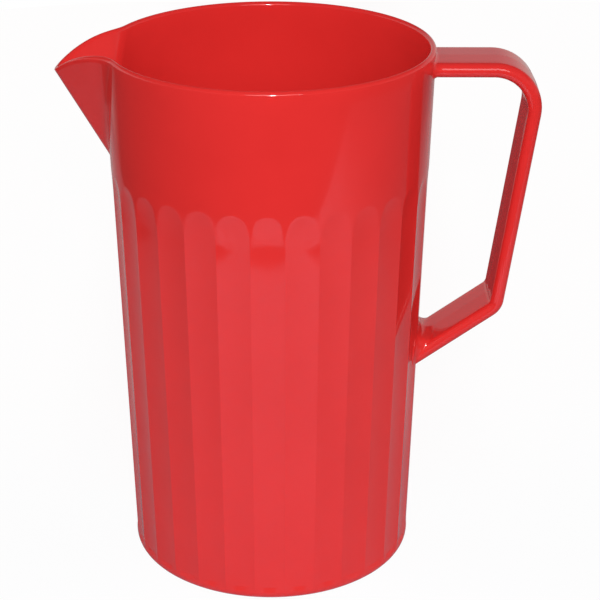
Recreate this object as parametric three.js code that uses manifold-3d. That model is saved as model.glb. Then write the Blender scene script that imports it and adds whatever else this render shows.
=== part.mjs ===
// Fluted plastic pouring jug, moulded in one go and divided here at its natural lines.
// Millimetres, +Z up. The jug stands on z = 0 with its axis on x = y = 0,
// the handle points to +X and the spout to -X.
import * as THREE from 'three';
import { mergeVertices } from 'three/addons/utils/BufferGeometryUtils.js';
import Module from 'manifold-3d';

const wasm = await Module();
wasm.setup();

// Body
const jugHeight = 180;
const rimRadius = 53.7;
const footRadius = 48.2;
const wallThickness = 2.1;
const floorThickness = 3;
const footRounding = 3;
const insideRounding = 4;
const baseHeight = 9;
const bandHeight = 39;

// Flutes: hollow channels side by side, round at the top
const fluteCount = 30;
const fluteHollow = 0.36;
const fluteOverlap = 0.12;
const fluteFoot = 3.2;
const fluteTopGap = 1.2;
const fluteRunOut = 10;
const runOutPower = 4;

// Spout: a V in plan with a round nose, leaning out along its keel
const spoutOverhang = 16.1;
const spoutTipDrop = 8.7;
const spoutKeelRise = 0.5;
const spoutHalfAngle = THREE.MathUtils.degToRad(34.1);
const spoutNoseRadius = 3.6;
const spoutBlend = 3;
const spoutBlendRise = 8;
const lipBendInset = 2.2;
const lipBendRadius = 26.6;
const spoutCutInset = 5.7;

// Handle: a flat bar bent to a loop, widened where it grows out of the wall
const handleWidth = 22.5;
const gripThickness = 4.8;
const upperArmThickness = 5.1;
const lowerArmThickness = 4.9;
const handleEdgeShare = 0.45;
const handleDrop = 3.7;
const gripOverhang = 36.5;
const gripLean = 0.1395;
const gripHeight = 86.1;
const lowerArmSlope = THREE.MathUtils.degToRad(35.6);
const upperBendOutside = 15.5;
const upperBendInside = 11;
const lowerBendOutside = 8;
const lowerBendInside = 2.5;
const upperRootFillet = 4.5;
const lowerRootFillet = 2.5;
const handleCutGap = 6.3;

// Fineness of the facets
const roundSegments = 120;
const arcSteps = 4;
const runOutSteps = 7;
const bendSteps = 8;
const rimSteps = 6;
const bevelSteps = 4;
const spoutStepAngle = 1.5;
const spoutSpread = 33;
const closingStepAngle = 49;

// Heights hang from the rim, and reaches are measured from its radius
const rimRounding = wallThickness / 2;
const bandFoot = jugHeight - bandHeight;
const fluteTop = bandFoot - fluteTopGap;
const spoutReach = rimRadius + spoutOverhang;
const spoutTipHeight = jugHeight - spoutTipDrop;
const spoutKeelFoot = bandFoot + spoutKeelRise;
const lipBendStart = rimRadius - lipBendInset;
const spoutCut = rimRadius - spoutCutInset;
const handleTop = jugHeight - handleDrop;
const handleCut = rimRadius + handleCutGap;
const handleEdgeRadius = gripThickness * handleEdgeShare;

const bodyTaper = (rimRadius - footRadius) / jugHeight;
const wallRadiusAt = (z) => footRadius + bodyTaper * z;
const insideRadiusAt = (z) => wallRadiusAt(z) - wallThickness;

// Solids from geometry, and back
function solidOf(geometry) {
  const plain = new THREE.BufferGeometry();
  plain.setAttribute('position', geometry.getAttribute('position'));
  if (geometry.index) {
    plain.setIndex(geometry.index);
  }
  const merged = mergeVertices(plain, 1e-4);
  const corners = merged.index.array;
  const triangles = [];
  for (let i = 0; i < corners.length; i += 3) {
    const [a, b, c] = [corners[i], corners[i + 1], corners[i + 2]];
    if (a !== b && b !== c && c !== a) {
      triangles.push(a, b, c);
    }
  }
  return new wasm.Manifold(new wasm.Mesh({
    numProp: 3,
    vertProperties: Float32Array.from(merged.getAttribute('position').array),
    triVerts: Uint32Array.from(triangles),
  }));
}

function geometryOf(solid) {
  const mesh = solid.getMesh();
  const geometry = new THREE.BufferGeometry();
  geometry.setAttribute('position', new THREE.BufferAttribute(mesh.vertProperties, 3));
  geometry.setIndex(new THREE.BufferAttribute(mesh.triVerts, 1));
  const faceted = geometry.toNonIndexed();
  faceted.computeVertexNormals();
  return faceted;
}

// A turned body about the jug's axis from a profile of radius and height
function turned(profile, segments) {
  const geometry = new THREE.LatheGeometry(profile, segments);
  geometry.rotateX(Math.PI / 2);
  return geometry;
}

// A block from one corner to the opposite one
function block(low, high) {
  const size = new THREE.Vector3().subVectors(high, low);
  const geometry = new THREE.BoxGeometry(size.x, size.y, size.z);
  geometry.translate((low.x + high.x) / 2, (low.y + high.y) / 2, (low.z + high.z) / 2);
  return solidOf(geometry);
}

function arcPoints(centreX, centreY, radius, from, to, steps) {
  const points = [];
  for (let i = 0; i <= steps; i += 1) {
    const angle = from + (to - from) * i / steps;
    points.push(new THREE.Vector2(centreX + radius * Math.cos(angle), centreY + radius * Math.sin(angle)));
  }
  return points;
}

// Where two lines in a plane meet, each given by a point and a direction
function meeting(point, direction, otherPoint, otherDirection) {
  const gap = new THREE.Vector2().subVectors(otherPoint, point);
  const along = gap.cross(otherDirection) / direction.cross(otherDirection);
  return point.clone().addScaledVector(direction, along);
}

// The short arc that rounds a corner between its two neighbours
function roundedCorner(before, corner, after, radius) {
  const back = new THREE.Vector2().subVectors(before, corner).normalize();
  const ahead = new THREE.Vector2().subVectors(after, corner).normalize();
  const halfAngle = Math.acos(back.dot(ahead)) / 2;
  const middle = new THREE.Vector2().addVectors(back, ahead).normalize();
  const centre = corner.clone().addScaledVector(middle, radius / Math.sin(halfAngle));
  const start = corner.clone().addScaledVector(back, radius / Math.tan(halfAngle)).sub(centre);
  const sweep = (Math.PI - 2 * halfAngle) * Math.sign(back.cross(ahead)) * -1;
  const from = start.angle();
  return arcPoints(centre.x, centre.y, radius, from, from + sweep, bendSteps);
}

// The space inside the jug, without the spout
const insideProfile = [
  new THREE.Vector2(0, floorThickness),
  ...arcPoints(
    insideRadiusAt(floorThickness + insideRounding) - insideRounding,
    floorThickness + insideRounding,
    insideRounding,
    -Math.PI / 2,
    0,
    arcSteps,
  ),
  new THREE.Vector2(insideRadiusAt(jugHeight * 1.1), jugHeight * 1.1),
  new THREE.Vector2(0, jugHeight * 1.1),
];
const insideSpace = solidOf(turned(insideProfile, roundSegments));

// One flute cutter: a leaning cone on the same apex as the wall.
// Its level sections pass just outside the two edges of a flute and, between them,
// go as deep as the hollow below the straight line from edge to edge.
// Along the run-out it draws in, ever faster, until it leaves the wall in a blunt arch.
function fluteCutter(index) {
  const halfPitch = Math.PI / fluteCount;
  const runOutFoot = fluteTop - fluteRunOut;
  const wallRadius = wallRadiusAt(runOutFoot);
  const halfWidth = wallRadius * Math.sin(halfPitch) + fluteOverlap;
  const coneRadius = (halfWidth ** 2 + fluteHollow ** 2) / (2 * fluteHollow);
  const axisRadius = wallRadius * Math.cos(halfPitch) - fluteHollow + coneRadius;
  const shrink = wallRadiusAt(fluteFoot) / wallRadius;
  const lean = bodyTaper * axisRadius / wallRadius;
  const depth = wallRadius - axisRadius + coneRadius - (lean - bodyTaper) * fluteRunOut;
  const profile = [
    new THREE.Vector2(0, 0),
    new THREE.Vector2(coneRadius * shrink, 0),
  ];
  for (let i = 0; i <= runOutSteps; i += 1) {
    const share = 1.1 * i / runOutSteps;
    const height = runOutFoot - fluteFoot + share * fluteRunOut;
    profile.push(new THREE.Vector2(coneRadius - depth * share ** runOutPower, height));
  }
  profile.push(new THREE.Vector2(0, profile[profile.length - 1].y));
  const geometry = turned(profile, roundSegments);
  geometry.applyMatrix4(new THREE.Matrix4().makeShear(0, 0, 0, 0, lean, 0));
  geometry.translate(axisRadius * shrink, 0, fluteFoot);
  geometry.rotateZ((2 * index + 1) * halfPitch);
  return solidOf(geometry);
}

const fluteCutters = [];
for (let i = 0; i < fluteCount; i += 1) {
  fluteCutters.push(fluteCutter(i));
}

function fluted(solid) {
  return fluteCutters.reduce((rest, cutter) => rest.subtract(cutter), solid);
}

// Base: floor, rounded foot, and the lowest part of the wall
const baseProfile = [
  new THREE.Vector2(0, 0),
  ...arcPoints(
    wallRadiusAt(footRounding) - footRounding,
    footRounding,
    footRounding,
    -Math.PI / 2,
    0,
    arcSteps,
  ),
  new THREE.Vector2(wallRadiusAt(baseHeight), baseHeight),
  new THREE.Vector2(0, baseHeight),
];
const base = fluted(solidOf(turned(baseProfile, roundSegments)).subtract(insideSpace));

// Spout: radius of its V-shaped plan in a given direction from the axis.
// The inset moves the whole outline in, for the inside face.
const keelLean = (spoutReach - wallRadiusAt(spoutKeelFoot)) / (spoutTipHeight - spoutKeelFoot);
function spoutRadiusAt(angle, z, inset) {
  const swing = Math.abs(angle);
  if (swing > Math.PI / 2) {
    return 0;
  }
  const nose = spoutNoseRadius - inset;
  const centre = spoutReach - (spoutTipHeight - z) * keelLean - spoutNoseRadius;
  const tangentX = centre + nose * Math.sin(spoutHalfAngle);
  const tangentY = nose * Math.cos(spoutHalfAngle);
  if (swing < Math.atan2(tangentY, tangentX)) {
    return centre * Math.cos(swing) + Math.sqrt(nose ** 2 - (centre * Math.sin(swing)) ** 2);
  }
  return (centre * Math.sin(spoutHalfAngle) + nose) / Math.sin(spoutHalfAngle + swing);
}

// The band's radius, with the spout running into the round wall through a hollow blend
function bandRadiusAt(angle, z, inset) {
  const round = wallRadiusAt(z) - inset;
  const spout = spoutRadiusAt(angle, z, inset);
  const reach = 0.01 + spoutBlend * Math.min(1, (z - bandFoot) / spoutBlendRise);
  const nearness = Math.max(reach - Math.abs(round - spout), 0) / reach;
  return Math.max(round, spout) + nearness ** 2 * reach / 4;
}

// The rim's height: level round the jug, falling along an arc toward the spout's tip
function lipHeightAt(angle) {
  let z = jugHeight;
  for (let i = 0; i < 12; i += 1) {
    const x = bandRadiusAt(angle, z, 0) * Math.cos(angle);
    const past = Math.min(Math.max(x - lipBendStart, 0), lipBendRadius * 0.95);
    z = jugHeight - lipBendRadius + Math.sqrt(lipBendRadius ** 2 - past ** 2);
  }
  return z;
}

// The wall's section in one direction, closed, from the outside foot over the rim to the inside foot
function bandSection(angle) {
  const shoulder = lipHeightAt(angle) - rimRounding;
  const levels = 8;
  const section = [];
  for (let i = 0; i <= levels; i += 1) {
    const z = bandFoot + (shoulder - bandFoot) * i / levels;
    section.push(new THREE.Vector2(bandRadiusAt(angle, z, 0), z));
  }
  const outside = section[levels].x;
  const inside = bandRadiusAt(angle, shoulder, wallThickness);
  for (let i = 1; i < rimSteps; i += 1) {
    const turn = Math.PI * i / rimSteps;
    const r = (outside + inside) / 2 + (outside - inside) / 2 * Math.cos(turn);
    section.push(new THREE.Vector2(r, shoulder + rimRounding * Math.sin(turn)));
  }
  for (let i = levels; i >= 0; i -= 1) {
    const z = bandFoot + (shoulder - bandFoot) * i / levels;
    section.push(new THREE.Vector2(bandRadiusAt(angle, z, wallThickness), z));
  }
  return section;
}

// Loft of closed sections right round the axis; angles are measured from the spout
function loftRound(angles, sectionAt) {
  const sections = angles.map((angle) => sectionAt(angle));
  const count = sections[0].length;
  const positions = [];
  sections.forEach((section, i) => {
    section.forEach((point) => {
      positions.push(-point.x * Math.cos(angles[i]), -point.x * Math.sin(angles[i]), point.y);
    });
  });
  const indices = [];
  for (let i = 0; i < sections.length; i += 1) {
    const next = (i + 1) % sections.length;
    for (let j = 0; j < count; j += 1) {
      const k = (j + 1) % count;
      indices.push(i * count + j, next * count + j, next * count + k);
      indices.push(i * count + j, next * count + k, i * count + k);
    }
  }
  const geometry = new THREE.BufferGeometry();
  geometry.setAttribute('position', new THREE.Float32BufferAttribute(positions, 3));
  geometry.setIndex(indices);
  return geometry;
}

// The rest of the ring only closes the loft, since the spout ends at its cut
const spoutAngles = [];
for (let degrees = -spoutSpread; degrees < spoutSpread; degrees += spoutStepAngle) {
  spoutAngles.push(THREE.MathUtils.degToRad(degrees));
}
for (let degrees = spoutSpread; degrees < 360 - spoutSpread; degrees += closingStepAngle) {
  spoutAngles.push(THREE.MathUtils.degToRad(degrees > 180 ? degrees - 360 : degrees));
}
const farOut = jugHeight;
const spoutSide = block(
  new THREE.Vector3(-farOut, -farOut, 0),
  new THREE.Vector3(-spoutCut, farOut, farOut),
);
const spout = solidOf(loftRound(spoutAngles, bandSection)).intersect(spoutSide);

// Handle: side outline in x and z, from the wall out along the top and back along the lower arm
const across = new THREE.Vector2(1, 0);
const upGrip = new THREE.Vector2(gripLean, 1).normalize();
const upLowerArm = new THREE.Vector2(Math.cos(lowerArmSlope), Math.sin(lowerArmSlope));
const rootX = insideRadiusAt(0);
const outerTop = new THREE.Vector2(rimRadius + gripOverhang, handleTop);
const outerLow = outerTop.clone().addScaledVector(upGrip, -gripHeight / upGrip.y);
const innerGrip = outerTop.clone().add(
  new THREE.Vector2(-upGrip.y, upGrip.x).multiplyScalar(gripThickness),
);
const upperUnderside = new THREE.Vector2(rootX, handleTop - upperArmThickness);
const lowerUpside = outerLow.clone().add(
  new THREE.Vector2(-upLowerArm.y, upLowerArm.x).multiplyScalar(lowerArmThickness),
);
const innerTop = meeting(innerGrip, upGrip, upperUnderside, across);
const innerLow = meeting(innerGrip, upGrip, lowerUpside, upLowerArm);
const wallLine = new THREE.Vector2(0, 1);
const wallPoint = new THREE.Vector2(rootX, 0);
const lowerRootBottom = meeting(outerLow, upLowerArm, wallPoint, wallLine);
const lowerRootTop = meeting(lowerUpside, upLowerArm, wallPoint, wallLine);
const upperRootTop = new THREE.Vector2(rootX, handleTop);
const handleOutline = [
  upperUnderside,
  ...roundedCorner(upperUnderside, innerTop, innerLow, upperBendInside),
  ...roundedCorner(innerTop, innerLow, lowerRootTop, lowerBendInside),
  lowerRootTop,
  lowerRootBottom,
  ...roundedCorner(lowerRootBottom, outerLow, outerTop, lowerBendOutside),
  ...roundedCorner(outerLow, outerTop, upperRootTop, upperBendOutside),
  upperRootTop,
];

// A flat shape given thickness, with all its edges rounded, centred on its own plane
function roundedSlab(outline, thickness) {
  const geometry = new THREE.ExtrudeGeometry(new THREE.Shape(outline), {
    depth: thickness - 2 * handleEdgeRadius,
    bevelEnabled: true,
    bevelThickness: handleEdgeRadius,
    bevelSize: handleEdgeRadius,
    bevelOffset: -handleEdgeRadius,
    bevelSegments: bevelSteps,
    steps: 1,
  });
  geometry.translate(0, 0, handleEdgeRadius - thickness / 2);
  return geometry;
}

const handleGeometry = roundedSlab(handleOutline, handleWidth);
handleGeometry.rotateX(Math.PI / 2);
const handleSide = block(
  new THREE.Vector3(handleCut, -farOut, 0),
  new THREE.Vector3(farOut, farOut, farOut),
);
const handle = solidOf(handleGeometry).intersect(handleSide);

// A root of the handle: the bar's plan widened by fillets onto the round wall.
// The middle is a point on the bar's mid-plane at the cut, and the slope is the bar's own.
function handleRoot(middle, slope, thickness, fillet) {
  const wallRadius = wallRadiusAt(middle.z);
  const halfWidth = handleWidth / 2;
  const filletY = halfWidth + fillet;
  const filletX = Math.sqrt((wallRadius + fillet) ** 2 - filletY ** 2);
  const wallAngle = Math.atan2(filletY, filletX);
  const arc = arcPoints(filletX, filletY, fillet, -Math.PI / 2, wallAngle - Math.PI, bendSteps);
  const overlap = 2 * handleEdgeRadius + wallThickness;
  const side = [
    new THREE.Vector2(handleCut + overlap, halfWidth),
    ...arc,
    new THREE.Vector2(arc[bendSteps].x - overlap, arc[bendSteps].y + handleEdgeRadius),
  ];
  const stretched = side.map((p) => new THREE.Vector2((p.x - middle.x) / Math.cos(slope), p.y));
  const mirrored = stretched.map((p) => new THREE.Vector2(p.x, -p.y)).reverse();
  const geometry = roundedSlab([...mirrored, ...stretched], thickness);
  geometry.rotateY(-slope);
  geometry.translate(middle.x, middle.y, middle.z);
  const wallSide = block(
    new THREE.Vector3(0, -farOut, 0),
    new THREE.Vector3(handleCut, farOut, farOut),
  );
  return solidOf(geometry).subtract(insideSpace).intersect(wallSide);
}

const upperRoot = handleRoot(
  new THREE.Vector3(handleCut, 0, handleTop - upperArmThickness / 2),
  0,
  upperArmThickness,
  upperRootFillet,
);
const lowerMiddle = new THREE.Vector2().addVectors(lowerRootTop, lowerRootBottom).multiplyScalar(0.5);
const lowerRise = (handleCut - rootX) * Math.tan(lowerArmSlope);
const lowerRoot = handleRoot(
  new THREE.Vector3(handleCut, 0, lowerMiddle.y + lowerRise),
  lowerArmSlope,
  lowerArmThickness,
  lowerRootFillet,
);

// Rim band and fluted wall, each with its own root of the handle
const shoulder = jugHeight - rimRounding;
const rimMiddle = wallRadiusAt(shoulder) - rimRounding;
const bandProfile = [
  new THREE.Vector2(insideRadiusAt(bandFoot), bandFoot),
  new THREE.Vector2(wallRadiusAt(bandFoot), bandFoot),
  ...arcPoints(rimMiddle, shoulder, rimRounding, 0, Math.PI, rimSteps),
  new THREE.Vector2(insideRadiusAt(bandFoot), bandFoot),
];
const band = solidOf(turned(bandProfile, roundSegments)).subtract(spoutSide).add(upperRoot);
const wallProfile = [
  new THREE.Vector2(insideRadiusAt(baseHeight), baseHeight),
  new THREE.Vector2(wallRadiusAt(baseHeight), baseHeight),
  new THREE.Vector2(wallRadiusAt(bandFoot), bandFoot),
  new THREE.Vector2(insideRadiusAt(bandFoot), bandFoot),
  new THREE.Vector2(insideRadiusAt(baseHeight), baseHeight),
];
const flutedWall = fluted(solidOf(turned(wallProfile, roundSegments))).add(lowerRoot);

const jug = new THREE.Group();
function addPiece(name, solid) {
  const material = new THREE.MeshStandardMaterial({ color: 0xd9262b, roughness: 0.22, metalness: 0 });
  const mesh = new THREE.Mesh(geometryOf(solid), material);
  mesh.name = name;
  jug.add(mesh);
}
addPiece('base', base);
addPiece('fluted_wall', flutedWall);
addPiece('rim_band', band);
addPiece('pouring_spout', spout);
addPiece('handle', handle);

export default jug;
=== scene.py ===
import math

import bpy
import numpy as np
from mathutils import Matrix, Vector


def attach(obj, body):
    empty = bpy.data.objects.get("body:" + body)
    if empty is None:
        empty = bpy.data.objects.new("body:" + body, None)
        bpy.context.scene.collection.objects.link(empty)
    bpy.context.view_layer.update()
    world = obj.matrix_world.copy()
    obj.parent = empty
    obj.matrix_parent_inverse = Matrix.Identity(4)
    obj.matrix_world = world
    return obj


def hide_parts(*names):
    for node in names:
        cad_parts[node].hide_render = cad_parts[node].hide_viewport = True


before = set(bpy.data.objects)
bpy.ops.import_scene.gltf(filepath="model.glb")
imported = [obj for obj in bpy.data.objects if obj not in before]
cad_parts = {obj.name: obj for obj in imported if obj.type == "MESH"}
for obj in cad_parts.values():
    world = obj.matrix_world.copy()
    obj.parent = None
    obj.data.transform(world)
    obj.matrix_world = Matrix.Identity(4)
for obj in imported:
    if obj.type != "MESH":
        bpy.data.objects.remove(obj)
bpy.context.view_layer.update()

mm = 0.001            # sizes below are in millimetres, meshes in metres
print("frame loaded:", ", ".join(sorted(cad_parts)))


# camera, where the photograph was taken from

viewPoint = {
    "place": (9.966, -575.465, 342.828),
    "pitchDown": 23.752,   # degrees
    "roll": 0.120,         # degrees
    "lens": 110.398,       # mm
    "sensor": 36.0,        # mm
    "clip": (0.01, 20.0),  # metres
}


def placeCamera():
    data = bpy.data.cameras.new("jugCamera")
    data.sensor_width = viewPoint["sensor"]
    data.lens = viewPoint["lens"]
    data.clip_start, data.clip_end = viewPoint["clip"]
    camera = bpy.data.objects.new("jugCamera", data)
    bpy.context.scene.collection.objects.link(camera)
    tilt = Matrix.Rotation(math.radians(90 - viewPoint["pitchDown"]), 4, "X")
    roll = Matrix.Rotation(math.radians(viewPoint["roll"]), 4, "Z")
    place = Matrix.Translation([v * mm for v in viewPoint["place"]])
    camera.matrix_world = place @ tilt @ roll
    bpy.context.scene.camera = camera


placeCamera()
print("camera placed")


# the turned body, shared by base, wall, band and spout

jugBody = {
    "height": 180.0,
    "rimRadius": 53.7,
    "footRadius": 48.2,
    "wall": 2.1,
    "baseTop": 9.0,        # where the base piece ends and the wall begins
    "bandFoot": 141.0,     # where the flutes stop and the plain band begins
    "columnAngle": 0.75,   # degrees between columns, sixteen to a flute
    "crispDeg": 40.0,      # edges sharper than this stay crisp
}
taper = (jugBody["rimRadius"] - jugBody["footRadius"]) / jugBody["height"]


def wallRadius(z):
    return jugBody["footRadius"] + taper * z


def insideRadius(z):
    return wallRadius(z) - jugBody["wall"]


def arcRow(centreR, centreZ, radius, fromDeg, toDeg, steps):
    angles = np.radians(np.linspace(fromDeg, toDeg, steps + 1))
    return [(centreR + radius * math.cos(a), centreZ + radius * math.sin(a)) for a in angles]


def blunted(value, power):
    return math.copysign(abs(value) ** power, value)


def makePiece(name, points, faces, crispDeg):
    mesh = bpy.data.meshes.new(name)
    mesh.from_pydata((np.asarray(points) * mm).tolist(), [], faces)
    mesh.validate()
    mesh.shade_smooth()
    mesh.set_sharp_from_angle(angle=math.radians(crispDeg))
    piece = bpy.data.objects.new(name, mesh)
    bpy.context.scene.collection.objects.link(piece)
    return piece


# columns go round, rows go up the outside and down the inside
def ringFaces(columns, rows, wholeTurn, closedRows):
    faces = []
    for i in range(columns if wholeTurn else columns - 1):
        n = (i + 1) % columns
        for j in range(rows if closedRows else rows - 1):
            k = (j + 1) % rows
            faces.append((i * rows + j, n * rows + j, n * rows + k, i * rows + k))
    return faces


def turnedRing(profile):
    steps = int(round(360 / jugBody["columnAngle"]))
    angles = np.radians(np.arange(steps) * jugBody["columnAngle"])
    rows = np.array(profile)
    points = np.empty((steps, len(rows), 3))
    points[:, :, 0] = np.cos(angles)[:, None] * rows[:, 0]
    points[:, :, 1] = np.sin(angles)[:, None] * rows[:, 0]
    points[:, :, 2] = rows[:, 1]
    return points


# red plastic

redPlastic = {
    "deepRed": (0.755, 0.028, 0.0255, 1),
    "brightRed": (0.785, 0.030, 0.0275, 1),
    # each pattern's size in mm, detail and roughness
    "cloud": (30.0, 3, 0.5),       # slow drift of the pigment
    "smear": (14.0, 5, 0.6),       # handling marks in the gloss
    "peel": (2.2, 2, 0.5),         # faint ripple of the moulded skin
    "cloudSpread": (0.35, 0.65),
    "smearSpread": (0.3, 0.7),
    "gloss": (0.055, 0.085),       # roughness, clean and handled
    "peelHeight": 0.003,           # mm
    "peelStrength": 0.5,
    "refraction": 1.5,
}


def makePlastic():
    material = bpy.data.materials.new("redGlossPlastic")
    material.use_nodes = True
    tree = material.node_tree
    shader = tree.nodes["Principled BSDF"]
    where = tree.nodes.new("ShaderNodeTexCoord")

    def noise(size, detail, rough):
        node = tree.nodes.new("ShaderNodeTexNoise")
        node.inputs["Scale"].default_value = 1 / (size * mm)
        node.inputs["Detail"].default_value = detail
        node.inputs["Roughness"].default_value = rough
        tree.links.new(where.outputs["Object"], node.inputs["Vector"])
        return node

    cloud = noise(*redPlastic["cloud"])
    tint = tree.nodes.new("ShaderNodeValToRGB")
    deep, bright = tint.color_ramp.elements
    deep.position, bright.position = redPlastic["cloudSpread"]
    deep.color = redPlastic["deepRed"]
    bright.color = redPlastic["brightRed"]
    tree.links.new(cloud.outputs["Fac"], tint.inputs["Fac"])
    tree.links.new(tint.outputs["Color"], shader.inputs["Base Color"])

    smear = noise(*redPlastic["smear"])
    gloss = tree.nodes.new("ShaderNodeMapRange")
    limits = redPlastic["smearSpread"] + redPlastic["gloss"]
    for name, value in zip(("From Min", "From Max", "To Min", "To Max"), limits):
        gloss.inputs[name].default_value = value
    tree.links.new(smear.outputs["Fac"], gloss.inputs["Value"])
    tree.links.new(gloss.outputs["Result"], shader.inputs["Roughness"])

    peel = noise(*redPlastic["peel"])
    bump = tree.nodes.new("ShaderNodeBump")
    bump.inputs["Strength"].default_value = redPlastic["peelStrength"]
    bump.inputs["Distance"].default_value = redPlastic["peelHeight"] * mm
    tree.links.new(peel.outputs["Fac"], bump.inputs["Height"])
    tree.links.new(bump.outputs["Normal"], shader.inputs["Normal"])

    shader.inputs["IOR"].default_value = redPlastic["refraction"]
    return material


plastic = makePlastic()
print("plastic mixed")


# flutes, pressed into a plain turned blank by a node tree

flutes = {
    "count": 30,
    "hollow": 0.36,        # below the straight line from edge to edge
    "overlap": 0.12,       # each runs this far past its edge
    "foot": 3.2,
    "top": 139.8,
    "runOut": 10.0,        # length of the arched end, where it leaves the wall
    "runOutPower": 4.0,    # more makes the arch blunter
    "footEase": 1.6,       # the foot slopes in over this height
    "crispDeg": 13.0,      # edges sharper than this stay crisp
}


def mathNode(tree, operation, *values):
    node = tree.nodes.new("ShaderNodeMath")
    node.operation = operation
    for socket, value in zip(node.inputs, values):
        if isinstance(value, bpy.types.NodeSocket):
            tree.links.new(value, socket)
        else:
            socket.default_value = value
    return node.outputs[0]


def fluteTree():
    tree = bpy.data.node_groups.new("pressFlutes", "GeometryNodeTree")
    tree.interface.new_socket("Blank", in_out="INPUT", socket_type="NodeSocketGeometry")
    for name in ("Flute Count", "Hollow", "Overlap", "Flute Foot", "Flute Top", "Run Out",
                 "Run Out Power", "Foot Ease", "Foot Radius", "Wall Taper", "Crisp Angle"):
        tree.interface.new_socket(name, in_out="INPUT", socket_type="NodeSocketFloat")
    tree.interface.new_socket("Plastic", in_out="INPUT", socket_type="NodeSocketMaterial")
    tree.interface.new_socket("Fluted", in_out="OUTPUT", socket_type="NodeSocketGeometry")
    given = tree.nodes.new("NodeGroupInput").outputs
    result = tree.nodes.new("NodeGroupOutput").inputs
    count, hollow, overlap = given["Flute Count"], given["Hollow"], given["Overlap"]
    foot, top, runOut = given["Flute Foot"], given["Flute Top"], given["Run Out"]
    footRadius, lift = given["Foot Radius"], given["Wall Taper"]

    def do(operation, *values):
        return mathNode(tree, operation, *values)

    def squared(value):
        return do("MULTIPLY", value, value)

    def coneAt(height):
        return do("MULTIPLY_ADD", lift, height, footRadius)

    place = tree.nodes.new("GeometryNodeInputPosition")
    split = tree.nodes.new("ShaderNodeSeparateXYZ")
    tree.links.new(place.outputs[0], split.inputs[0])
    x, y, z = split.outputs
    radius = do("SQRT", do("ADD", squared(x), squared(y)))

    # one flute's cutter: a leaning cone that draws in toward the top
    halfPitch = do("DIVIDE", math.pi, count)
    runFoot = do("SUBTRACT", top, runOut)
    wallThere = coneAt(runFoot)
    halfWidth = do("MULTIPLY_ADD", wallThere, do("SINE", halfPitch), overlap)
    squares = do("ADD", squared(halfWidth), squared(hollow))
    coneRadius = do("DIVIDE", squares, do("MULTIPLY", hollow, 2.0))
    chord = do("SUBTRACT", do("MULTIPLY", wallThere, do("COSINE", halfPitch)), hollow)
    axisRadius = do("ADD", chord, coneRadius)
    lean = do("DIVIDE", do("MULTIPLY", lift, axisRadius), wallThere)
    deep = do("SUBTRACT", wallThere, chord)
    depth = do("SUBTRACT", deep, do("MULTIPLY", do("SUBTRACT", lean, lift), runOut))

    # where this point lies in its own flute
    turn = do("SUBTRACT", do("ARCTAN2", y, x), halfPitch)
    side = do("WRAP", turn, halfPitch, do("MULTIPLY", halfPitch, -1.0))
    above = do("MAXIMUM", do("SUBTRACT", z, runFoot), 0.0)
    shrink = do("MINIMUM", do("DIVIDE", coneAt(z), wallThere), 1.0)
    axisHere = do("ADD", do("MULTIPLY", axisRadius, shrink), do("MULTIPLY", lean, above))
    gone = do("POWER", do("DIVIDE", above, runOut), given["Run Out Power"])
    drawnIn = do("MULTIPLY", depth, gone)
    coneHere = do("SUBTRACT", do("MULTIPLY", coneRadius, shrink), drawnIn)
    sideways = do("MULTIPLY", axisHere, do("SINE", side))
    reach = do("SQRT", do("SUBTRACT", squared(coneHere), squared(sideways)))
    pressed = do("SUBTRACT", do("MULTIPLY", axisHere, do("COSINE", side)), reach)
    held = do("MINIMUM", radius, pressed)
    ease = do("DIVIDE", do("SUBTRACT", z, foot), given["Foot Ease"])
    ease = do("MINIMUM", do("MAXIMUM", ease, 0.0), 1.0)
    newRadius = do("MULTIPLY_ADD", do("SUBTRACT", held, radius), ease, radius)
    factor = do("DIVIDE", newRadius, radius)

    join = tree.nodes.new("ShaderNodeCombineXYZ")
    tree.links.new(do("MULTIPLY", x, factor), join.inputs["X"])
    tree.links.new(do("MULTIPLY", y, factor), join.inputs["Y"])
    tree.links.new(z, join.inputs["Z"])
    move = tree.nodes.new("GeometryNodeSetPosition")
    tree.links.new(given["Blank"], move.inputs["Geometry"])
    tree.links.new(join.outputs[0], move.inputs["Position"])

    # smooth skin, crisp where two flutes meet
    smooth = tree.nodes.new("GeometryNodeSetShadeSmooth")
    smooth.domain = "FACE"
    smooth.inputs["Shade Smooth"].default_value = True
    tree.links.new(move.outputs[0], smooth.inputs["Geometry"])
    bend = tree.nodes.new("GeometryNodeInputMeshEdgeAngle")
    sharp = do("GREATER_THAN", bend.outputs["Unsigned Angle"], given["Crisp Angle"])
    crisp = tree.nodes.new("GeometryNodeSetShadeSmooth")
    crisp.domain = "EDGE"
    crisp.inputs["Shade Smooth"].default_value = False
    tree.links.new(smooth.outputs[0], crisp.inputs["Geometry"])
    tree.links.new(sharp, crisp.inputs["Selection"])

    real = tree.nodes.new("GeometryNodeRealizeInstances")
    tree.links.new(crisp.outputs[0], real.inputs[0])
    paint = tree.nodes.new("GeometryNodeSetMaterial")
    tree.links.new(real.outputs[0], paint.inputs["Geometry"])
    tree.links.new(given["Plastic"], paint.inputs["Material"])
    tree.links.new(paint.outputs[0], result["Fluted"])
    return tree


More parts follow.
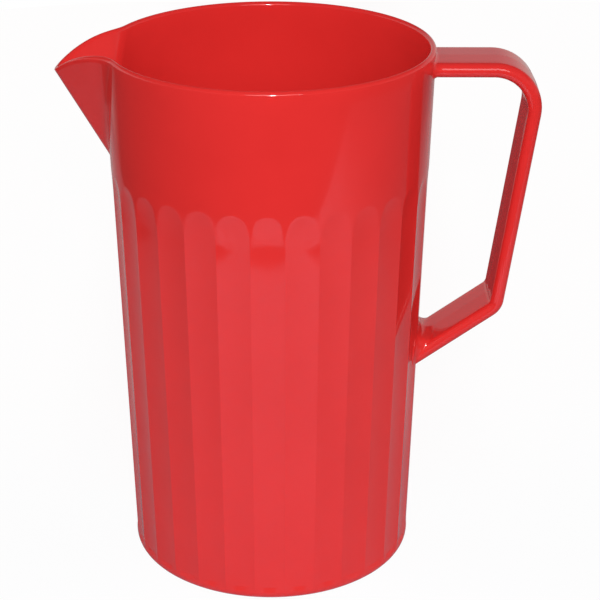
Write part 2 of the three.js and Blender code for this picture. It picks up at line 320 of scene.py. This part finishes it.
def pressFlutes(piece, tree):
    values = {
        "Flute Count": float(flutes["count"]),
        "Hollow": flutes["hollow"] * mm,
        "Overlap": flutes["overlap"] * mm,
        "Flute Foot": flutes["foot"] * mm,
        "Flute Top": flutes["top"] * mm,
        "Run Out": flutes["runOut"] * mm,
        "Run Out Power": flutes["runOutPower"],
        "Foot Ease": flutes["footEase"] * mm,
        "Foot Radius": jugBody["footRadius"] * mm,
        "Wall Taper": taper,
        "Crisp Angle": math.radians(flutes["crispDeg"]),
        "Plastic": plastic,
    }
    modifier = piece.modifiers.new("flutes", "NODES")
    modifier.node_group = tree
    for item in tree.interface.items_tree:
        if item.in_out == "INPUT" and item.name in values:
            modifier[item.identifier] = values[item.name]
    graph = bpy.context.evaluated_depsgraph_get()
    mesh = bpy.data.meshes.new_from_object(piece.evaluated_get(graph), depsgraph=graph)
    piece.modifiers.clear()
    piece.data = mesh
    mesh.name = piece.name


# base

baseShape = {
    "floor": 3.0,
    "footRounding": 3.0,
    "insideRounding": 4.0,
    "roundSteps": 8,
    "standingRing": 42.4,  # radius where the sunk underside begins
    "sunk": 0.6,
    "sunkSteps": ((2.5, 1.0), (1.2, 0.55), (0.4, 0.1)),   # mm in from the ring, share of the depth
    "gateRadius": 2.4,     # round mark where the plastic was fed in
    "gateEdge": 0.3,
    "gateSunk": 0.35,
    "underRing": 20.0,     # plain rings that break up the flat faces
    "floorRings": (30.0, 12.0),
    "outsideRow": 7.0,
}


def makeBase():
    b = baseShape
    top = jugBody["baseTop"]
    sunk, ring = b["sunk"], b["standingRing"]
    under = [(b["gateRadius"], sunk + b["gateSunk"]), (b["gateRadius"] + b["gateEdge"], sunk)]
    under += [(b["underRing"], sunk)]
    under += [(ring - inward, sunk * share) for inward, share in b["sunkSteps"]]
    under += [(ring, 0.0)]
    foot = b["footRounding"]
    outside = arcRow(wallRadius(foot) - foot, foot, foot, -90, 0, b["roundSteps"])
    eased = flutes["foot"] + flutes["footEase"]
    outside += [(wallRadius(z), z) for z in (flutes["foot"], eased, b["outsideRow"], top)]
    bend = b["insideRounding"]
    level = b["floor"] + bend
    inside = [(insideRadius(top), top)]
    inside += arcRow(insideRadius(level) - bend, level, bend, 0, -90, b["roundSteps"])
    inside += [(r, b["floor"]) for r in b["floorRings"]]
    points = turnedRing(under + outside + inside)
    columns, rows = points.shape[:2]
    faces = ringFaces(columns, rows, True, False)
    flat = points.reshape(-1, 3).tolist()
    low, high = len(flat), len(flat) + 1
    flat += [(0, 0, sunk + b["gateSunk"]), (0, 0, b["floor"])]
    for i in range(columns):
        n = (i + 1) % columns
        faces.append((low, n * rows, i * rows))
        faces.append((high, i * rows + rows - 1, n * rows + rows - 1))
    return makePiece("jugBase", flat, faces, jugBody["crispDeg"])


# fluted wall

wallShape = {
    "rows": 46,
    "crowding": 2.2,       # rows crowd toward the arched tops
}


def makeWall():
    foot, top = jugBody["baseTop"], jugBody["bandFoot"]
    share = 1 - np.arange(wallShape["rows"] + 1) / wallShape["rows"]
    heights = top - (top - foot) * share ** wallShape["crowding"]
    profile = [(wallRadius(z), z) for z in heights]
    profile += [(insideRadius(top), top), (insideRadius(foot), foot)]
    points = turnedRing(profile)
    columns, rows = points.shape[:2]
    faces = ringFaces(columns, rows, True, True)
    return makePiece("flutedWall", points.reshape(-1, 3), faces, jugBody["crispDeg"])


pressTree = fluteTree()
base = makeBase()
wall = makeWall()
for blank in (base, wall):
    pressFlutes(blank, pressTree)
print("base and fluted wall pressed:", len(base.data.polygons), len(wall.data.polygons), "faces")


# rim band and pouring spout

spoutShape = {
    "reach": 69.8,         # from the jug's axis to the tip
    "tipHeight": 171.3,
    "keelFoot": 141.5,
    "halfAngle": 34.1,     # of the V, degrees
    "nose": 3.6,
    "widest": 45.0,        # to each side, degrees; there is no spout past here
    "blend": 3.0,          # hollow where it runs into the wall
    "blendLeast": 0.01,
    "blendRise": 8.0,
    "lipBendStart": 51.5,  # past here the lip falls along an arc
    "lipBendRadius": 26.6,
    "lipBendMost": 0.95,   # share of that radius
    "lipTries": 24,        # the lip's height settles well before
    "pieceAngle": 27.0,    # to each side, degrees
    "levels": 26,
    "turnStep": 0.5,       # degrees between columns
    "noseTurns": ((4.5, 0.25), (2.5, 0.125)),   # to each side, and a finer step there
}
bandShape = {
    "levels": 8,
    "rimSteps": 16,
    "rimPower": 1.6,       # 2 is a round rim, less has a narrower crest
}
keelRise = spoutShape["tipHeight"] - spoutShape["keelFoot"]
keelLean = (spoutShape["reach"] - wallRadius(spoutShape["keelFoot"])) / keelRise


def spoutRadius(turn, z, inset):
    s = spoutShape
    swing = abs(turn)
    half = math.radians(s["halfAngle"])
    nose = s["nose"] - inset
    centre = s["reach"] - (s["tipHeight"] - z) * keelLean - s["nose"]
    if swing > math.radians(s["widest"]):
        return 0.0
    if swing < math.atan2(nose * math.cos(half), centre + nose * math.sin(half)):
        across = centre * math.sin(swing)
        return centre * math.cos(swing) + math.sqrt(nose ** 2 - across ** 2)
    return (centre * math.sin(half) + nose) / math.sin(half + swing)


def bandRadius(turn, z, inset):
    plain = wallRadius(z) - inset
    spout = spoutRadius(turn, z, inset)
    rise = (z - jugBody["bandFoot"]) / spoutShape["blendRise"]
    reach = spoutShape["blendLeast"] + spoutShape["blend"] * min(1, rise)
    near = max(reach - abs(plain - spout), 0) / reach    # 1 where the two skins meet
    return max(plain, spout) + near ** 2 * reach / 4


def lipHeight(turn):
    z = jugBody["height"]
    bend = spoutShape["lipBendRadius"]
    most = spoutShape["lipBendMost"] * bend
    for _ in range(spoutShape["lipTries"]):
        x = bandRadius(turn, z, 0) * math.cos(turn)
        past = min(max(x - spoutShape["lipBendStart"], 0), most)
        z = jugBody["height"] - bend + math.sqrt(bend ** 2 - past ** 2)
    return z


def bandSection(turn, levels):
    rounding = jugBody["wall"] / 2
    shoulder = lipHeight(turn) - rounding
    heights = np.linspace(jugBody["bandFoot"], shoulder, levels + 1)
    rows = [(bandRadius(turn, z, 0), z) for z in heights]
    outer, inner = rows[-1][0], bandRadius(turn, shoulder, jugBody["wall"])
    power = 2 / bandShape["rimPower"]
    for i in range(1, bandShape["rimSteps"]):
        a = math.pi * i / bandShape["rimSteps"]
        r = (outer + inner) / 2 + (outer - inner) / 2 * blunted(math.cos(a), power)
        rows.append((r, shoulder + rounding * blunted(math.sin(a), power)))
    rows += [(bandRadius(turn, z, jugBody["wall"]), z) for z in heights[::-1]]
    return rows


def sweptBand(name, turns, levels):
    points = []
    for turn in turns:
        for r, z in bandSection(turn, levels):
            points.append((-r * math.cos(turn), -r * math.sin(turn), z))
    rows = len(points) // len(turns)
    faces = ringFaces(len(turns), rows, False, True)
    last = (len(turns) - 1) * rows
    for j in range(rows // 2):    # the two cut ends, outside to inside
        k = rows - 1 - j
        if k - j > 2:
            faces.append((j, j + 1, k - 1, k))
            faces.append((last + k, last + k - 1, last + j + 1, last + j))
        elif k - j == 2:
            faces.append((j, j + 1, k))
            faces.append((last + k, last + j + 1, last + j))
    piece = makePiece(name, points, faces, jugBody["crispDeg"])
    piece.data.materials.append(plastic)
    return piece


lastToo = 0.01   # degrees past the end, so that the last column is counted


def spoutTurns():
    spans = ((spoutShape["pieceAngle"], spoutShape["turnStep"]),) + spoutShape["noseTurns"]
    turns = [np.arange(-edge, edge + lastToo, step) for edge, step in spans]
    return np.radians(np.unique(np.round(np.concatenate(turns), 4)))


def bandTurns():
    edge = spoutShape["pieceAngle"]
    turns = np.radians(np.arange(edge, 360 - edge + lastToo, jugBody["columnAngle"]))
    return turns - 2 * math.pi * (turns > math.pi)


spout = sweptBand("pouringSpout", spoutTurns(), spoutShape["levels"])
band = sweptBand("rimBand", bandTurns(), bandShape["levels"])
print("band and spout swept:", len(band.data.polygons), len(spout.data.polygons), "faces")


# handle: a flat bar bent to a loop, flared onto the wall at both ends

handleShape = {
    "width": 22.5,
    "gripThick": 4.8,
    "upperThick": 5.1,
    "lowerThick": 4.9,
    "top": 176.3,
    "reach": 90.16,
    "lean": 0.1395,        # of the grip, sideways per unit of height
    "gripHeight": 86.1,
    "lowerSlope": 35.6,    # degrees
    "upperBend": (15.5, 11.0),   # outside and inside radius
    "lowerBend": (8.0, 2.5),
    "edge": 2.4,           # the narrow sides are full rounds
    "crown": 0.18,         # the broad faces fall this much from their middle to the edge
    "crownAt": (0.04, 0.35, 0.7),     # rows across a broad face, as shares of it
    "upperFlare": (4.5, 1.4, 1.4),    # fillets sideways, above and below
    "lowerFlare": (2.5, 3.6, 1.2),
    "rootSink": 0.25,      # the fillets end this far inside the wall's skin
    "rootDepth": 0.9,      # and the ends lie this far behind the fillets
    "ballReach": 1.9,      # the fillet's ball is tried out to this many radii
    "ballTries": 96,
    "bendSteps": 18,
    "gripSteps": 13,
    "edgeSteps": 10,
    "flareSteps": 10,
    "crispDeg": 35.0,
}


def crossing(p, d, q, e):
    t = ((q[0] - p[0]) * e[1] - (q[1] - p[1]) * e[0]) / (d[0] * e[1] - d[1] * e[0])
    return p + d * t


def bendArc(before, corner, after, radius, steps):
    back = (before - corner) / np.linalg.norm(before - corner)
    ahead = (after - corner) / np.linalg.norm(after - corner)
    half = math.acos(float(back @ ahead)) / 2
    middle = (back + ahead) / np.linalg.norm(back + ahead)
    centre = corner + middle * radius / math.sin(half)
    start = corner + back * radius / math.tan(half) - centre
    cross = back[0] * ahead[1] - back[1] * ahead[0]
    sweep = -(math.pi - 2 * half) * math.copysign(1, cross)
    first = math.atan2(start[1], start[0])
    angles = first + sweep * np.arange(steps + 1) / steps
    return [centre + radius * np.array((math.cos(a), math.sin(a))) for a in angles]


def handleLines():
    h = handleShape
    slope = math.radians(h["lowerSlope"])
    up = np.array((h["lean"], 1.0)) / math.hypot(h["lean"], 1.0)
    arm = np.array((math.cos(slope), math.sin(slope)))
    across = np.array((1.0, 0.0))
    outTop = np.array((h["reach"], h["top"]))
    outLow = outTop - up * h["gripHeight"] / up[1]
    inGrip = outTop + np.array((-up[1], up[0])) * h["gripThick"]
    inUpper = np.array((0.0, h["top"] - h["upperThick"]))
    inLower = outLow + np.array((-arm[1], arm[0])) * h["lowerThick"]
    inTop = crossing(inGrip, up, inUpper, across)
    inLow = crossing(inGrip, up, inLower, arm)
    steps = h["bendSteps"]
    away = 30.0    # any length along an arm, only its direction counts
    outer = bendArc(outTop - across * away, outTop, outLow, h["upperBend"][0], steps)
    inner = bendArc(inTop - across * away, inTop, inLow, h["upperBend"][1], steps)
    lowOuter = bendArc(outTop, outLow, outLow - arm * away, h["lowerBend"][0], steps)
    lowInner = bendArc(inTop, inLow, inLow - arm * away, h["lowerBend"][1], steps)
    for t in np.linspace(0, 1, h["gripSteps"] + 1)[1:-1]:    # the straight grip
        outer.append(outer[steps] * (1 - t) + lowOuter[0] * t)
        inner.append(inner[steps] * (1 - t) + lowInner[0] * t)
    return outer + lowOuter, inner + lowInner, arm


def barSection(half):
    h = handleShape
    edge, crown = h["edge"], h["crown"]
    side = h["width"] / 2
    quarter = [(0.0, half)]
    quarter += [((side - edge) * t, half - crown * t) for t in h["crownAt"]]
    for a in np.radians(np.linspace(90, 0, h["edgeSteps"] + 1)):
        quarter.append((side - edge + edge * math.cos(a), (half - crown) * math.sin(a)))
    down = [(y, -w) for y, w in quarter[-2::-1]]
    right = quarter + down
    left = [(-y, w) for y, w in right[-2:0:-1]]
    return np.array(right + left)


def barRing(out, inn):
    middle, across = (out + inn) / 2, (out - inn) / 2
    half = float(np.linalg.norm(across))
    across = across / half
    flat = barSection(half)
    ring = np.empty((len(flat), 3))
    ring[:, 0] = middle[0] + across[0] * flat[:, 1]
    ring[:, 1] = flat[:, 0]
    ring[:, 2] = middle[1] + across[1] * flat[:, 1]
    return ring


# how far each point is from the wall, going along the arm
def wallDistance(points, heading):
    foot = jugBody["footRadius"] - handleShape["rootSink"]
    a = heading[0] ** 2 + heading[1] ** 2 - (taper * heading[2]) ** 2
    b = points[:, 0] * heading[0] + points[:, 1] * heading[1]
    b = b - taper * heading[2] * (foot + taper * points[:, 2])
    c = points[:, 0] ** 2 + points[:, 1] ** 2 - (foot + taper * points[:, 2]) ** 2
    return (-b - np.sqrt(np.maximum(b * b - a * c, 0))) / a


# rings of a fillet from the arm's skin onto the wall, found by rolling a ball in the corner
def flareRings(ring, heading, fillets):
    h = handleShape
    sideways, above, below = fillets
    ahead = np.roll(ring, -1, axis=0) - np.roll(ring, 1, axis=0)
    normal = np.cross(ahead, heading)
    normal = normal / np.linalg.norm(normal, axis=1)[:, None]
    middle = ring.mean(axis=0)
    if ((ring - middle) * normal).sum() < 0:
        normal = -normal
    sideShare = normal[:, 1] ** 2
    upright = np.where(normal[:, 2] > 0, above, below)
    radius = upright + (sideways - upright) * sideShare
    lowest = np.full(len(ring), np.inf)
    touch = np.zeros(len(ring))
    for t in np.linspace(0, h["ballReach"], h["ballTries"]):
        offset = radius * t
        gap = wallDistance(ring + normal * offset[:, None], heading)
        gap = gap - np.sqrt(np.maximum(radius ** 2 - (offset - radius) ** 2, 0))
        closer = gap < lowest
        lowest = np.where(closer, gap, lowest)
        touch = np.where(closer, offset, touch)
    last = np.arccos(np.clip((radius - touch) / radius, -1, 1))
    rings = []
    for i in range(h["flareSteps"] + 1):
        a = last * i / h["flareSteps"]
        out = radius - radius * np.cos(a)
        along = lowest + radius * np.sin(a)
        rings.append(ring + normal * out[:, None] + heading * along[:, None])
    rings.append(rings[-1] + heading * h["rootDepth"])
    return rings


def makeHandle():
    outer, inner, arm = handleLines()
    rings = [barRing(o, i) for o, i in zip(outer, inner)]
    toUpper = np.array((-1.0, 0.0, 0.0))
    toLower = np.array((-arm[0], 0.0, -arm[1]))
    upper = flareRings(rings[0], toUpper, handleShape["upperFlare"])
    lower = flareRings(rings[-1], toLower, handleShape["lowerFlare"])
    rings = upper[::-1] + rings + lower
    points = np.array(rings)
    columns, rows = points.shape[:2]
    faces = ringFaces(columns, rows, False, True)
    last, m = (columns - 1) * rows, rows // 4
    for j in range(m):    # the two ends, in upright strips that follow the wall
        right = (j, j + 1, 2 * m - j - 1, 2 * m - j)
        left = (2 * m + j, 2 * m + j + 1, 4 * m - j - 1, (4 * m - j) % rows)
        for strip in (right, left):
            strip = tuple(dict.fromkeys(strip))
            faces.append(strip)
            faces.append(tuple(last + k for k in reversed(strip)))
    piece = makePiece("loopHandle", points.reshape(-1, 3), faces, handleShape["crispDeg"])
    piece.data.materials.append(plastic)
    return piece


handle = makeHandle()
print("handle bent:", len(handle.data.polygons), "faces")


# everything rides on the one body and stands for its own solid

standsFor = {
    "base": base,
    "fluted_wall": wall,
    "rim_band": band,
    "pouring_spout": spout,
    "handle": handle,
}
for node, piece in standsFor.items():
    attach(piece, "root")
    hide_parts(node)
print("pieces set on the frame")


# floor, lamps and surroundings

def blendColour(tree, share, low, high):
    node = tree.nodes.new("ShaderNodeMix")
    node.data_type = "RGBA"
    sockets = [s for s in node.inputs if s.type == "RGBA"]
    for socket, value in zip(sockets, (low, high)):
        if isinstance(value, bpy.types.NodeSocket):
            tree.links.new(value, socket)
        else:
            socket.default_value = value
    tree.links.new(share, node.inputs["Factor"])
    return [s for s in node.outputs if s.type == "RGBA"][0]


def easedStep(tree, value, edges):
    node = tree.nodes.new("ShaderNodeMapRange")
    node.interpolation_type = "SMOOTHSTEP"
    node.inputs["From Min"].default_value, node.inputs["From Max"].default_value = edges
    tree.links.new(value, node.inputs["Value"])
    return node.outputs["Result"]


# lengths in metres; the colours are painted reflections, with a painted shadow right behind the
# jug: they show in the jug's gloss, the camera sees nearly plain white
tableTop = {
    "centre": (0.14, 0.225),
    "reach": (0.46, 0.525),              # half its width, and half its depth
    "square": 5.0,                       # 2 is an oval, more is squarer
    "edgeStep": 3,                       # degrees
    "drop": 0.0002,                      # just under the jug's foot
    "roughness": 0.9,
    "before": (0.68, 0.70, 0.86, 1),     # in front of the jug
    "behind": (0.90, 0.70, 0.69, 1),     # behind it, either side, warm as painted red bounce light from the jug
    "paintedShadowAndBounce": (0.55, 0.10, 0.11, 1),      # right behind it: painted shadow of the jug, reddened as painted bounce light
    "shadeEdge": (0.06, 0.10),           # to either side
    "turn": (-0.05, 0.05),               # from front to back
    "beside": (0.46, 0.46, 0.51, 1),
    "far": (0.16, 0.16, 0.18, 1),
    "farEdge": (0.22, 0.43),             # to either side
    "middle": 0.0001,                    # keeps the division safe under the jug
    "glow": 0.93,                        # share of plain white that the camera sees
    "glowStrength": 1.03,
}


def makeTable():
    t = tableTop
    (cx, cy), (rx, ry), power = t["centre"], t["reach"], 2 / t["square"]
    edge = []
    for a in np.radians(np.arange(0, 360, t["edgeStep"])):
        x = cx + rx * blunted(math.cos(a), power)
        y = cy + ry * blunted(math.sin(a), power)
        edge.append((x, y, 0))
    mesh = bpy.data.meshes.new("paleTable")
    mesh.from_pydata(edge, [], [tuple(range(len(edge)))])
    table = bpy.data.objects.new("paleTable", mesh)
    table.location.z = -t["drop"]
    bpy.context.scene.collection.objects.link(table)
    material = bpy.data.materials.new("paleTable")
    material.use_nodes = True
    tree = material.node_tree
    shader = tree.nodes["Principled BSDF"]
    shader.inputs["Roughness"].default_value = t["roughness"]

    # painted reflections: pale before and behind the jug, dimmer beside it, dark far to the sides;
    # a painted shadow with painted red bounce light right behind it
    where = tree.nodes.new("ShaderNodeTexCoord")
    split = tree.nodes.new("ShaderNodeSeparateXYZ")
    tree.links.new(where.outputs["Object"], split.inputs[0])
    x, y = split.outputs["X"], split.outputs["Y"]
    xx, yy = mathNode(tree, "MULTIPLY", x, x), mathNode(tree, "MULTIPLY", y, y)
    square = mathNode(tree, "ADD", mathNode(tree, "ADD", xx, yy), t["middle"])
    sideways = mathNode(tree, "SQRT", xx)
    # painted shadow with red bounce right behind the jug, warm painted bounce light to either side
    behind = blendColour(tree, easedStep(tree, sideways, t["shadeEdge"]), t["paintedShadowAndBounce"], t["behind"])
    pale = blendColour(tree, easedStep(tree, y, t["turn"]), t["before"], behind)
    near = blendColour(tree, mathNode(tree, "DIVIDE", yy, square), t["beside"], pale)
    colour = blendColour(tree, easedStep(tree, sideways, t["farEdge"]), near, t["far"])
    tree.links.new(colour, shader.inputs["Base Color"])

    glow = tree.nodes.new("ShaderNodeEmission")
    glow.inputs["Strength"].default_value = t["glowStrength"]
    path = tree.nodes.new("ShaderNodeLightPath")
    share = mathNode(tree, "MULTIPLY", path.outputs["Is Camera Ray"], t["glow"])
    mix = tree.nodes.new("ShaderNodeMixShader")
    tree.links.new(share, mix.inputs[0])
    tree.links.new(shader.outputs[0], mix.inputs[1])
    tree.links.new(glow.outputs[0], mix.inputs[2])
    tree.links.new(mix.outputs[0], tree.nodes["Material Output"].inputs["Surface"])
    mesh.materials.append(material)


# place and size in metres; the fills light the back and leave no highlight
lamps = {
    "panel": {"place": (0.10, -1.45, 0.87), "size": (1.0, 0.6), "power": 7.0, "mirrored": True},
    "leftFill": {"place": (-1.10, 0.90, 0.26), "size": (0.7, 0.3), "power": 3.0, "mirrored": False},
    "rightFill": {"place": (1.30, 0.90, 0.26), "size": (0.7, 0.3), "power": 4.5, "mirrored": False},
    "flash": {"place": (0.03, -0.62, 0.43), "size": (0.03, 0.03), "power": 2.05, "mirrored": True},
}
lampAim = (0, 0, 0.1)    # about the jug's middle


def makeLamp(name, settings):
    data = bpy.data.lights.new(name, "AREA")
    data.shape = "RECTANGLE"
    data.size, data.size_y = settings["size"]
    data.energy = settings["power"]
    lamp = bpy.data.objects.new(name, data)
    lamp.location = settings["place"]
    aim = Vector(lampAim) - lamp.location
    lamp.rotation_euler = aim.to_track_quat("-Z", "Y").to_euler()
    lamp.visible_glossy = settings["mirrored"]
    bpy.context.scene.collection.objects.link(lamp)


# dim in front, pale to the sides, dark overhead and under table height
paleRoom = {
    "front": (0.20, 0.20, 0.20, 1),
    "left": (0.82, 0.82, 0.83, 1),
    "right": (0.98, 0.98, 0.99, 1),
    "back": (0.46, 0.46, 0.47, 1),
    "top": (0.06, 0.06, 0.06, 1),
    "below": (0.06, 0.06, 0.06, 1),
    "behind": (0.55, 0.54, 0.52, 1),         # at the back, about table height
    "seen": (1, 1, 1, 1),                    # by the camera
    "mirrorRight": (0.35, 0.35, 0.36, 1),    # the right wall as the gloss shows it
    # where one colour eases into the next, along a direction of length 1
    "topHeight": (0.55, 0.80),
    "mirrorTop": (0.30, 0.50),               # the same as the gloss shows it
    "sideTurn": (-0.80, 0.80),               # from left to right
    "frontHeight": (0.25, 0.50),             # the front is dim below this
    "frontDepth": (-0.25, 0.05),             # and before this
    "backHeight": (0.05, 0.22),
    "backDepth": (0.45, 0.85),
    "belowDepth": (0.60, 0.85),
    "horizon": (-0.06, 0.06),
}


def makeRoom():
    r = paleRoom
    world = bpy.data.worlds.new("paleRoom")
    world.use_nodes = True
    tree = world.node_tree
    where = tree.nodes.new("ShaderNodeTexCoord")
    split = tree.nodes.new("ShaderNodeSeparateXYZ")
    tree.links.new(where.outputs["Generated"], split.inputs[0])
    side, depth, height = split.outputs

    def eased(value, edges):
        return easedStep(tree, value, r[edges])

    def blend(share, low, high):
        return blendColour(tree, share, low, high)

    lit = mathNode(tree, "ADD", eased(height, "frontHeight"), eased(depth, "frontDepth"))
    lit.node.use_clamp = True
    back = blend(eased(height, "backHeight"), r["behind"], r["back"])
    uppers = []
    for right, top in (("right", "topHeight"), ("mirrorRight", "mirrorTop")):
        walls = blend(eased(side, "sideTurn"), r["left"], r[right])
        walls = blend(lit, r["front"], walls)
        walls = blend(eased(depth, "backDepth"), walls, back)
        uppers.append(blend(eased(height, top), walls, r["top"]))
    path = tree.nodes.new("ShaderNodeLightPath")
    upper = blend(path.outputs["Is Glossy Ray"], *uppers)
    lower = blend(eased(depth, "belowDepth"), r["below"], r["behind"])
    room = blend(eased(height, "horizon"), lower, upper)
    seen = blend(path.outputs["Is Camera Ray"], room, r["seen"])
    tree.links.new(seen, tree.nodes["Background"].inputs["Color"])
    bpy.context.scene.world = world


makeTable()
for name, settings in lamps.items():
    makeLamp(name, settings)
makeRoom()
bpy.context.scene.view_settings.view_transform = "Standard"
print("floor and light set")
